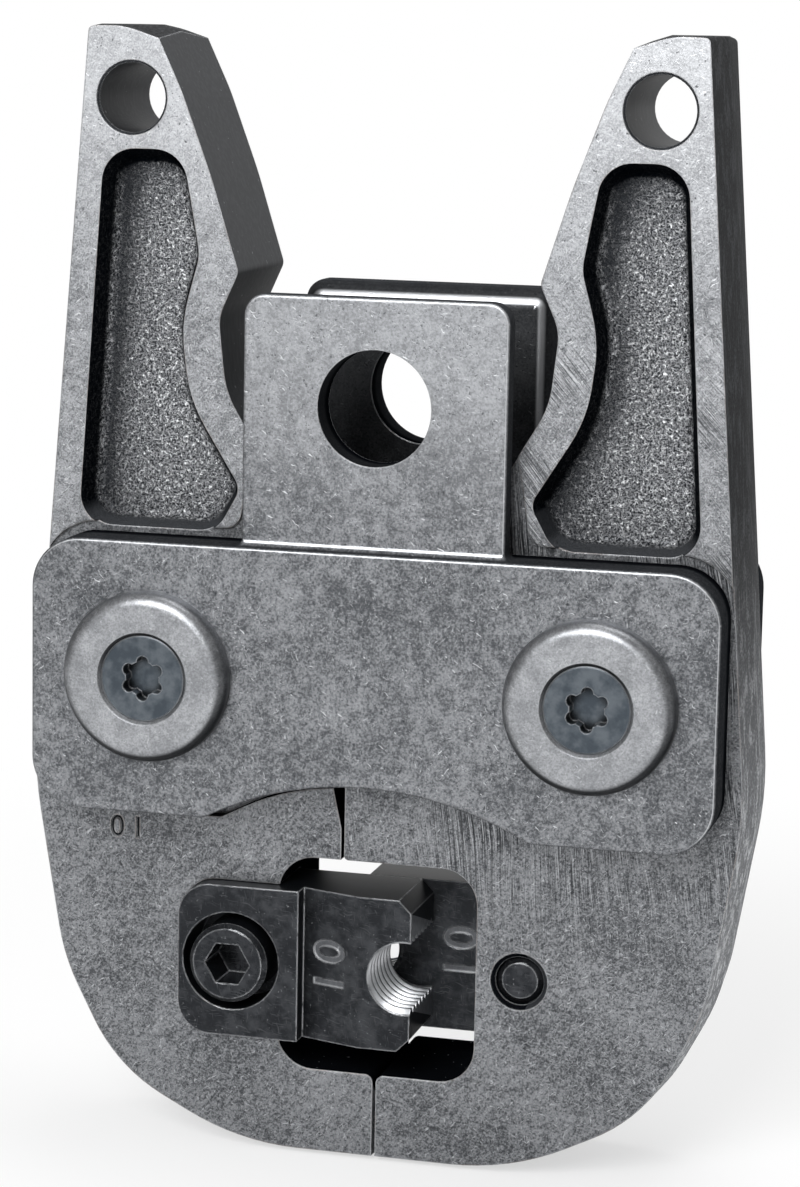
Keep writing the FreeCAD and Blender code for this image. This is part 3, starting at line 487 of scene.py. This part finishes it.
def blued(name):
    steel = Steel(name)
    clouds = steel.grain(2.2, 3.0, 0.6)
    colour = steel.blend(steel.fade(clouds, 0.35, 0.68), BLUE_DARK, BLUE_LIGHT)
    # Hollows such as the recess are painted dark as shade.
    colour = steel.blend(steel.open_to_light(1.6, 0.45, 0.85), tone(8), colour)
    colour = steel.blend(steel.edges(0.03, 0.3) * 0.7, colour, tone(215))
    return steel.surface(Base_Color=colour, Metallic=0.8, Normal=steel.bump(clouds, 0.006),
                         Roughness=0.3 + clouds * 0.12)


def blackened(name, wear=1.0, roughness=0.4):
    steel = Steel(name)
    clouds = steel.grain(2.6, 4.0, 0.65)
    colour = steel.blend(steel.fade(clouds, 0.4, 0.7), tone(38), tone(62))
    bent = steel.warped(2.5, 1.5)
    scuffs = steel.largest(steel.strokes(8, 2.2, 0.12, 0.62, 0.76, 1.0, bent),
                           steel.strokes(80, 1.8, 0.12, 0.65, 0.78, 0.0, bent))
    colour = steel.blend(scuffs * 0.25, colour, tone(115))
    spots = steel.fade(steel.grain(0.35, 1.0, 0.5), 0.72, 0.8)
    colour = steel.blend(spots * 0.5, colour, tone(150))
    # Faces that look sideways are painted nearly black as shade, and lose their shine.
    shaded_side = steel.fade(abs(steel.facing("Y")), 0.5, 0.1)
    colour = steel.blend(shaded_side * 0.85, colour, tone(5))
    worn = steel.edges(0.01, 0.14) * steel.fade(steel.grain(1.2, 3.0, 0.6), 0.26, 0.5)
    colour = steel.blend(worn * wear, colour, tone(205))
    return steel.surface(Base_Color=colour, Metallic=0.7 - shaded_side * 0.6, Normal=steel.bump(clouds, 0.008),
                         Roughness=roughness - worn * 0.1, Specular_IOR_Level=0.2)


def bare(name):
    steel = Steel(name)
    clouds = steel.grain(0.8, 2.0, 0.5)
    colour = steel.blend(clouds, tone(150), tone(205))
    colour = steel.blend(steel.edges(0.02, 0.3) * 0.6, colour, tone(240))
    return steel.surface(Base_Color=colour, Metallic=0.9, Normal=steel.bump(clouds, 0.004), Roughness=0.3)


washer_steel = turned("turned_washer", 150)
pin_steel = turned("ground_pin", 150)
spring_steel = turned("spring_wire", 110)
blued_steel = blued("phosphated_screw")
black_steel = blackened("black_oxide")
black_screw = blackened("black_screw", wear=0.8, roughness=0.26)
thread_steel = bare("cut_thread")
engraved_steel = milled("engraved_mark", 88)
print("materials so far", len(bpy.data.materials))

# %% [markdown]
# ## Working copies of some solids
# The levers and the inserts get numbers and threads, and the insert screws' heads are moved, so these six
# solids are copied. The copy's loose triangles are merged into a closed mesh first, because a boolean needs
# to know what is inside. Edges that turn by more than 24 degrees are marked sharp, and weighted normals
# keep the flats flat.

# %% Copies, cutters and lettering
SHARP_BEND = 24
CAPITAL_SHARE, STROKE_SHARE = 0.72, 0.02


def own_copy(node):
    """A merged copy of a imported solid, at the same place."""
    made = bmesh.new()
    made.from_mesh(nodes[node].data)
    bmesh.ops.remove_doubles(made, verts=made.verts, dist=0.0005 * MM)
    bmesh.ops.dissolve_degenerate(made, dist=0.0002 * MM, edges=made.edges)
    for face in made.faces:
        face.material_index = 0
    return made


def to_object(name, made, materials):
    mesh = bpy.data.meshes.new(name)
    made.to_mesh(mesh)
    made.free()
    piece = bpy.data.objects.new(name, mesh)
    bpy.context.scene.collection.objects.link(piece)
    for material in materials:
        mesh.materials.append(material)
    return piece


def carve(piece, cutters):
    """Takes the cutters away from a piece, and removes them."""
    for cutter in cutters:
        modifier = piece.modifiers.new("carve", "BOOLEAN")
        modifier.operation, modifier.solver, modifier.object = "DIFFERENCE", "EXACT", cutter
    view = bpy.context.evaluated_depsgraph_get()
    carved = bpy.data.meshes.new_from_object(piece.evaluated_get(view))
    piece.modifiers.clear()
    piece.data = carved
    for cutter in cutters:
        bpy.data.objects.remove(cutter)


def smooth_by_angle(piece):
    made = bmesh.new()
    made.from_mesh(piece.data)
    for face in made.faces:
        face.smooth = True
    for edge in made.edges:
        edge.smooth = len(edge.link_faces) == 2 and edge.calc_face_angle(0) < math.radians(SHARP_BEND)
    made.to_mesh(piece.data)
    made.free()
    weighted = piece.modifiers.new("flats", "WEIGHTED_NORMAL")
    weighted.keep_sharp, weighted.weight = True, 80


def lettering(text, height, deep, centre, across, upward, spacing, finish):
    """A cutter in the shape of text, centred at a point, reading along across.

    The walls and floors that it leaves take the material with the number of its finish."""
    curve = bpy.data.curves.new("lettering", "FONT")
    curve.body, curve.size, curve.extrude = text, height / CAPITAL_SHARE, deep / 2
    curve.align_x, curve.align_y, curve.space_character = "CENTER", "CENTER", spacing
    curve.offset = height * STROKE_SHARE
    written = bpy.data.objects.new("lettering", curve)
    bpy.context.scene.collection.objects.link(written)
    view = bpy.context.evaluated_depsgraph_get()
    mesh = bpy.data.meshes.new_from_object(written.evaluated_get(view))
    bpy.data.objects.remove(written)
    across, upward = Vector(across).normalized(), Vector(upward).normalized()
    turn = Matrix((across, upward, across.cross(upward))).transposed().to_4x4()
    mesh.transform(Matrix.Translation(centre) @ turn)
    made = bmesh.new()
    made.from_mesh(mesh)
    bmesh.ops.remove_doubles(made, verts=made.verts, dist=0.001 * MM)
    bmesh.ops.recalc_face_normals(made, faces=made.faces)
    for face in made.faces:
        face.material_index = finish
    return to_object("lettering_cutter", made, [])


# %% [markdown]
# ## Levers
# Each face of the lever's copy is given the surface its tool would leave. The pocket is found by growing
# from its floor across every gentle bend until the rim, which is sharp. The rest goes by place and facing:
# a face that leans a little is a drafted side, and one inside the window is broached and painted nearly black
# as shade.

# %% Lever surfaces
ARM_FACE, SEAT_FACE, POCKET_FLOOR = 9.5 * MM, 8.9 * MM, 6.0 * MM
POCKETS_ABOVE = -20 * MM
WINDOW_HALF_WIDTH, WINDOW_TOP, WINDOW_FOOT = 19 * MM, -47 * MM, -89 * MM
MIDDLE_HALF_WIDTH = 15 * MM
LEAST_DRAFT, MOST_DRAFT = 0.02, 0.2
GENTLE_BEND = 40
ARM, SEAT, POCKET, SIDE, INNER, WINDOW, STAMPED = range(7)
NUMBER_X, NUMBER_Z = -32.6, -54.6  # mm
NUMBER_HEIGHT, NUMBER_DEPTH, NUMBER_SPACING = 2.8 * MM, 0.6 * MM, 1.4


def grow(seeds, degrees):
    """All faces reached from the seeds without crossing a bend sharper than so many degrees."""
    found, front = set(seeds), list(seeds)
    while front:
        for edge in front.pop().edges:
            if len(edge.link_faces) == 2 and edge.calc_face_angle(0) < math.radians(degrees):
                for face in edge.link_faces:
                    if face not in found:
                        found.add(face)
                        front.append(face)
    return found


def surface_of(face, pocket):
    middle, frontal = face.calc_center_median(), abs(face.normal.y)
    if face in pocket:
        return POCKET
    if frontal > 0.9:
        return ARM if abs(abs(middle.y) - ARM_FACE) < 0.05 * MM else SEAT
    if abs(middle.x) < WINDOW_HALF_WIDTH and WINDOW_FOOT < middle.z < WINDOW_TOP:
        return WINDOW
    drafted = LEAST_DRAFT < frontal < MOST_DRAFT and abs(middle.x) > MIDDLE_HALF_WIDTH
    return SIDE if drafted or middle.z < WINDOW_FOOT else INNER


def lever_surfaces(made):
    made.normal_update()
    floor = [f for f in made.faces if abs(abs(f.calc_center_median().y) - POCKET_FLOOR) < 0.02 * MM
             and abs(f.normal.y) > 0.99 and f.calc_center_median().z > POCKETS_ABOVE]
    pocket = grow(floor, GENTLE_BEND)
    for face in made.faces:
        face.material_index = surface_of(face, pocket)
    counts = [sum(f.material_index == i for f in made.faces) for i in range(STAMPED)]
    print("lever faces: arm, seat, pocket, side, inner, window", counts)


def lever(node, body, sign):
    """sign is 1 for the lever whose stamped number shows at the front, -1 for its twin at the back."""
    made = own_copy(node)
    lever_surfaces(made)
    piece = to_object(node + "_forged", made, lever_steels)
    centre = Vector((NUMBER_X * sign, -SEAT_FACE / MM * sign, NUMBER_Z)) * MM
    carve(piece, [lettering("10", NUMBER_HEIGHT, NUMBER_DEPTH, centre, (-sign, 0, 0), (0, 0, -1),
                            NUMBER_SPACING, STAMPED)])
    stamped = sum(polygon.material_index == STAMPED for polygon in piece.data.polygons)
    print(node, stamped, "faces in the stamped number")
    smooth_by_angle(piece)
    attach(piece, body)
    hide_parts(node)


lever("left_lever", "left_jaw", 1)
lever("right_lever", "right_jaw", -1)

# %% [markdown]
# ## Cutting inserts
# Half of an M10 thread runs through each insert's nose. A V profile spun about the rod's axis while it
# moves along it gives a helix, and taking that away from the plain half-round recess leaves the ridges.
# A plain 10 is engraved in the insert's sloped outer face and in its shear face, both reading upwards.

# %% Threads and engraved numbers
PITCH, MINOR, MAJOR = 1.5 * MM, 4.19 * MM, 5.0 * MM
ROD_X, ROD_Z = 3.85 * MM, -70.2 * MM
FRONT_START, BACK_START, THREAD_LENGTH = -13.0 * MM, -1.2 * MM, 14.2 * MM
STEPS = 40
BLACK, THREAD, ENGRAVED = range(3)
SLOPE_RUN, SLOPE_FALL = 7.75, 2.4
OUTER_NUMBER, SHEAR_NUMBER = (-5.5, -10.2, 0.0), (-8.8, -0.05, 0.4)  # mm across, deep and above the rod
DIGIT_HEIGHT, DIGIT_DEPTH, DIGIT_SPACING = 4.4 * MM, 0.3 * MM, 1.3


def helix_cutter(centre_x, start_y):
    """A V-shaped groove that winds about the rod's axis."""
    made = bmesh.new()
    profile = [(MINOR - 0.1 * MM, -0.46 * PITCH), (MAJOR, -0.06 * PITCH), (MAJOR, 0.06 * PITCH),
               (MINOR - 0.1 * MM, 0.46 * PITCH)]
    corners = [made.verts.new((centre_x + r, start_y + y, ROD_Z)) for r, y in profile]
    face = made.faces.new(corners)
    turns = THREAD_LENGTH / PITCH
    bmesh.ops.spin(made, geom=[face, *face.edges, *corners], cent=(centre_x, 0, ROD_Z), axis=(0, 1, 0),
                   dvec=(0, PITCH / STEPS, 0), angle=turns * math.tau, steps=round(turns * STEPS),
                   use_merge=False)
    bmesh.ops.recalc_face_normals(made, faces=made.faces)
    print("thread cutter", len(made.faces), "faces,", round(turns, 1), "turns")
    return to_object("thread_cutter", made, [thread_steel])


def insert(node, body, sign):
    """sign is 1 for the left insert, which lies in front, and -1 for its twin behind the shear plane."""
    piece = to_object(node + "_threaded", own_copy(node), [black_steel, thread_steel, engraved_steel])
    cutters = [helix_cutter(ROD_X * sign, FRONT_START if sign > 0 else BACK_START)]
    slope = Vector((SLOPE_RUN * sign, -SLOPE_FALL * sign, 0)).normalized()
    for (x, y, raised), upward in ((OUTER_NUMBER, -slope), (SHEAR_NUMBER, (sign, 0, 0))):
        centre = Vector((x * sign, y * sign, ROD_Z / MM + raised)) * MM
        cutters.append(lettering("10", DIGIT_HEIGHT, DIGIT_DEPTH, centre, (0, 0, 1), upward,
                                 DIGIT_SPACING, ENGRAVED))
    carve(piece, cutters)
    smooth_by_angle(piece)
    bare_faces = 0
    for polygon in piece.data.polygons:
        reach = math.hypot(polygon.center.x - ROD_X * sign, polygon.center.z - ROD_Z)
        if MINOR - 0.05 * MM < reach < MAJOR + 0.05 * MM and abs(polygon.normal.y) < 0.95:
            polygon.material_index = THREAD
            bare_faces += 1
    print(node, len(piece.data.polygons), "faces,", bare_faces, "of them bare thread")
    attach(piece, body)
    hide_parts(node)


insert("left_cutting_insert", "left_jaw", 1)
insert("right_cutting_insert", "right_jaw", -1)

# %% [markdown]
# ## Insert screws
# The socket heads stand a little out of their counterbores in the photograph. Each screw is copied, and
# the vertices of the head's face and its rounded rim are moved out along the screw's axis.

# %% Heads that stand proud
HEAD_PROUD, HEAD_RIM = 2.4 * MM, 0.8 * MM


def insert_screw(node, body, sign):
    """sign is 1 for the screw whose head looks forwards, -1 for its twin at the back."""
    made = own_copy(node)
    face = min(v.co.y * sign for v in made.verts)
    moved = [v for v in made.verts if v.co.y * sign < face + HEAD_RIM]
    bmesh.ops.translate(made, verts=moved, vec=(0, -HEAD_PROUD * sign, 0))
    print(node, len(moved), "vertices moved out by", round(HEAD_PROUD / MM, 1), "mm")
    piece = to_object(node + "_proud", made, [black_screw])
    smooth_by_angle(piece)
    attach(piece, body)
    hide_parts(node)


insert_screw("left_insert_screw", "left_jaw", 1)
insert_screw("right_insert_screw", "right_jaw", -1)

# %% [markdown]
# ## Finishes on the other solids
# The plates, pins, washers, washer screws and the spring keep their own meshes. Only their material
# changes.

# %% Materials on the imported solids
FINISHES = {"plate": plate_steel, "pin_steel": pin_steel, "washer_steel": washer_steel,
            "blued_screw": blued_steel, "spring_steel": spring_steel}
for entry in frame["record"]["subparts"]:
    finish = FINISHES.get(entry["material_slot"])
    if finish:
        mesh = nodes[entry["node"]].data
        mesh.materials.clear()
        mesh.materials.append(finish)

# %% [markdown]
# ## Floor, backdrop and light
# The jaw stands on a pale floor in front of white. The world is white for the camera, and for mirrored
# rays that run backwards. Everything else sees a soft studio, which is brighter in front than behind and
# brightens from below to above, so that steel has something to reflect. One softbox stands in front, a
# second hangs above. The floor fades to white away from the part and keeps its soft shadow.

# %% Studio
FLOOR = cad_low.z - 0.05 * MM
FLOOR_RADIUS, SHADOW_REACH, WHITE_FROM, SHADOW_SHARE = 1.6, 0.11, 0.24, 0.4
WHITE = (1, 1, 1, 1)


def floor_piece():
    made = bmesh.new()
    bmesh.ops.create_circle(made, cap_ends=True, segments=96, radius=FLOOR_RADIUS)
    bmesh.ops.translate(made, verts=made.verts, vec=(0, 0, FLOOR))
    finish = Finish("pale_floor")
    finish.surface(Base_Color=(0.86, 0.86, 0.86, 1), Roughness=0.7)
    radius = finish.node("VectorMath", {"operation": "LENGTH"},
                         {0: finish.node("TexCoord", output="Object")}, "Value")
    near = finish.fade(radius, SHADOW_REACH, WHITE_FROM, SHADOW_SHARE, 0.0)
    glow = finish.node("Emission", None, {"Color": WHITE, "Strength": 1.0})
    seen = finish.node("LightPath", output="Is Camera Ray")
    finish.show(finish.node("MixShader", None, {
        0: seen * (1 - near), 1: Wire(finish, finish.shader.outputs[0]), 2: glow}))
    to_object("floor", made, [finish.material])


def studio_world():
    world = bpy.data.worlds.new("studio")
    world.use_nodes = True
    studio = Graph(world.node_tree, "OutputWorld")
    way = studio.node("TexCoord", output="Generated")
    backwards, up = studio.axis(way, "Y"), studio.axis(way, "Z")
    front = studio.fade(up, -0.3, 0.3, 0.14, 0.5) * studio.fade(backwards, -0.9, 0.2, 0.9, 0.3)
    top = studio.fade(up, 0.15, 0.75, 0.0, 0.55)
    mirrored = studio.largest(*(studio.node("LightPath", output=kind)
                                for kind in ("Is Glossy Ray", "Is Transmission Ray")))
    mirrored = mirrored * studio.fade(backwards, 0.1, 0.8)
    strength = studio.largest(front, top, mirrored, studio.node("LightPath", output="Is Camera Ray"))
    studio.show(studio.node("Background", None, {"Color": WHITE, "Strength": strength}))
    bpy.context.scene.world = world


def softbox(name, place, aim, size, watts):
    light = bpy.data.lights.new(name, "AREA")
    light.shape, light.size, light.size_y, light.energy = "RECTANGLE", size[0], size[1], watts
    lamp = bpy.data.objects.new(name, light)
    lamp.location = place
    lamp.rotation_mode = "QUATERNION"
    lamp.rotation_quaternion = (aim - Vector(place)).to_track_quat("-Z", "Y")
    bpy.context.scene.collection.objects.link(lamp)


floor_piece()
studio_world()
middle = (cad_low + cad_high) / 2
softbox("key_light", (-0.08, -0.62, 0.34), middle, size=(0.36, 0.36), watts=5.0)
softbox("top_light", (0.1, 0.1, 0.7), middle, size=(0.5, 0.35), watts=2.4)
bpy.context.scene.view_settings.view_transform = "Standard"
print("floor at", round(FLOOR / MM, 1), "mm")
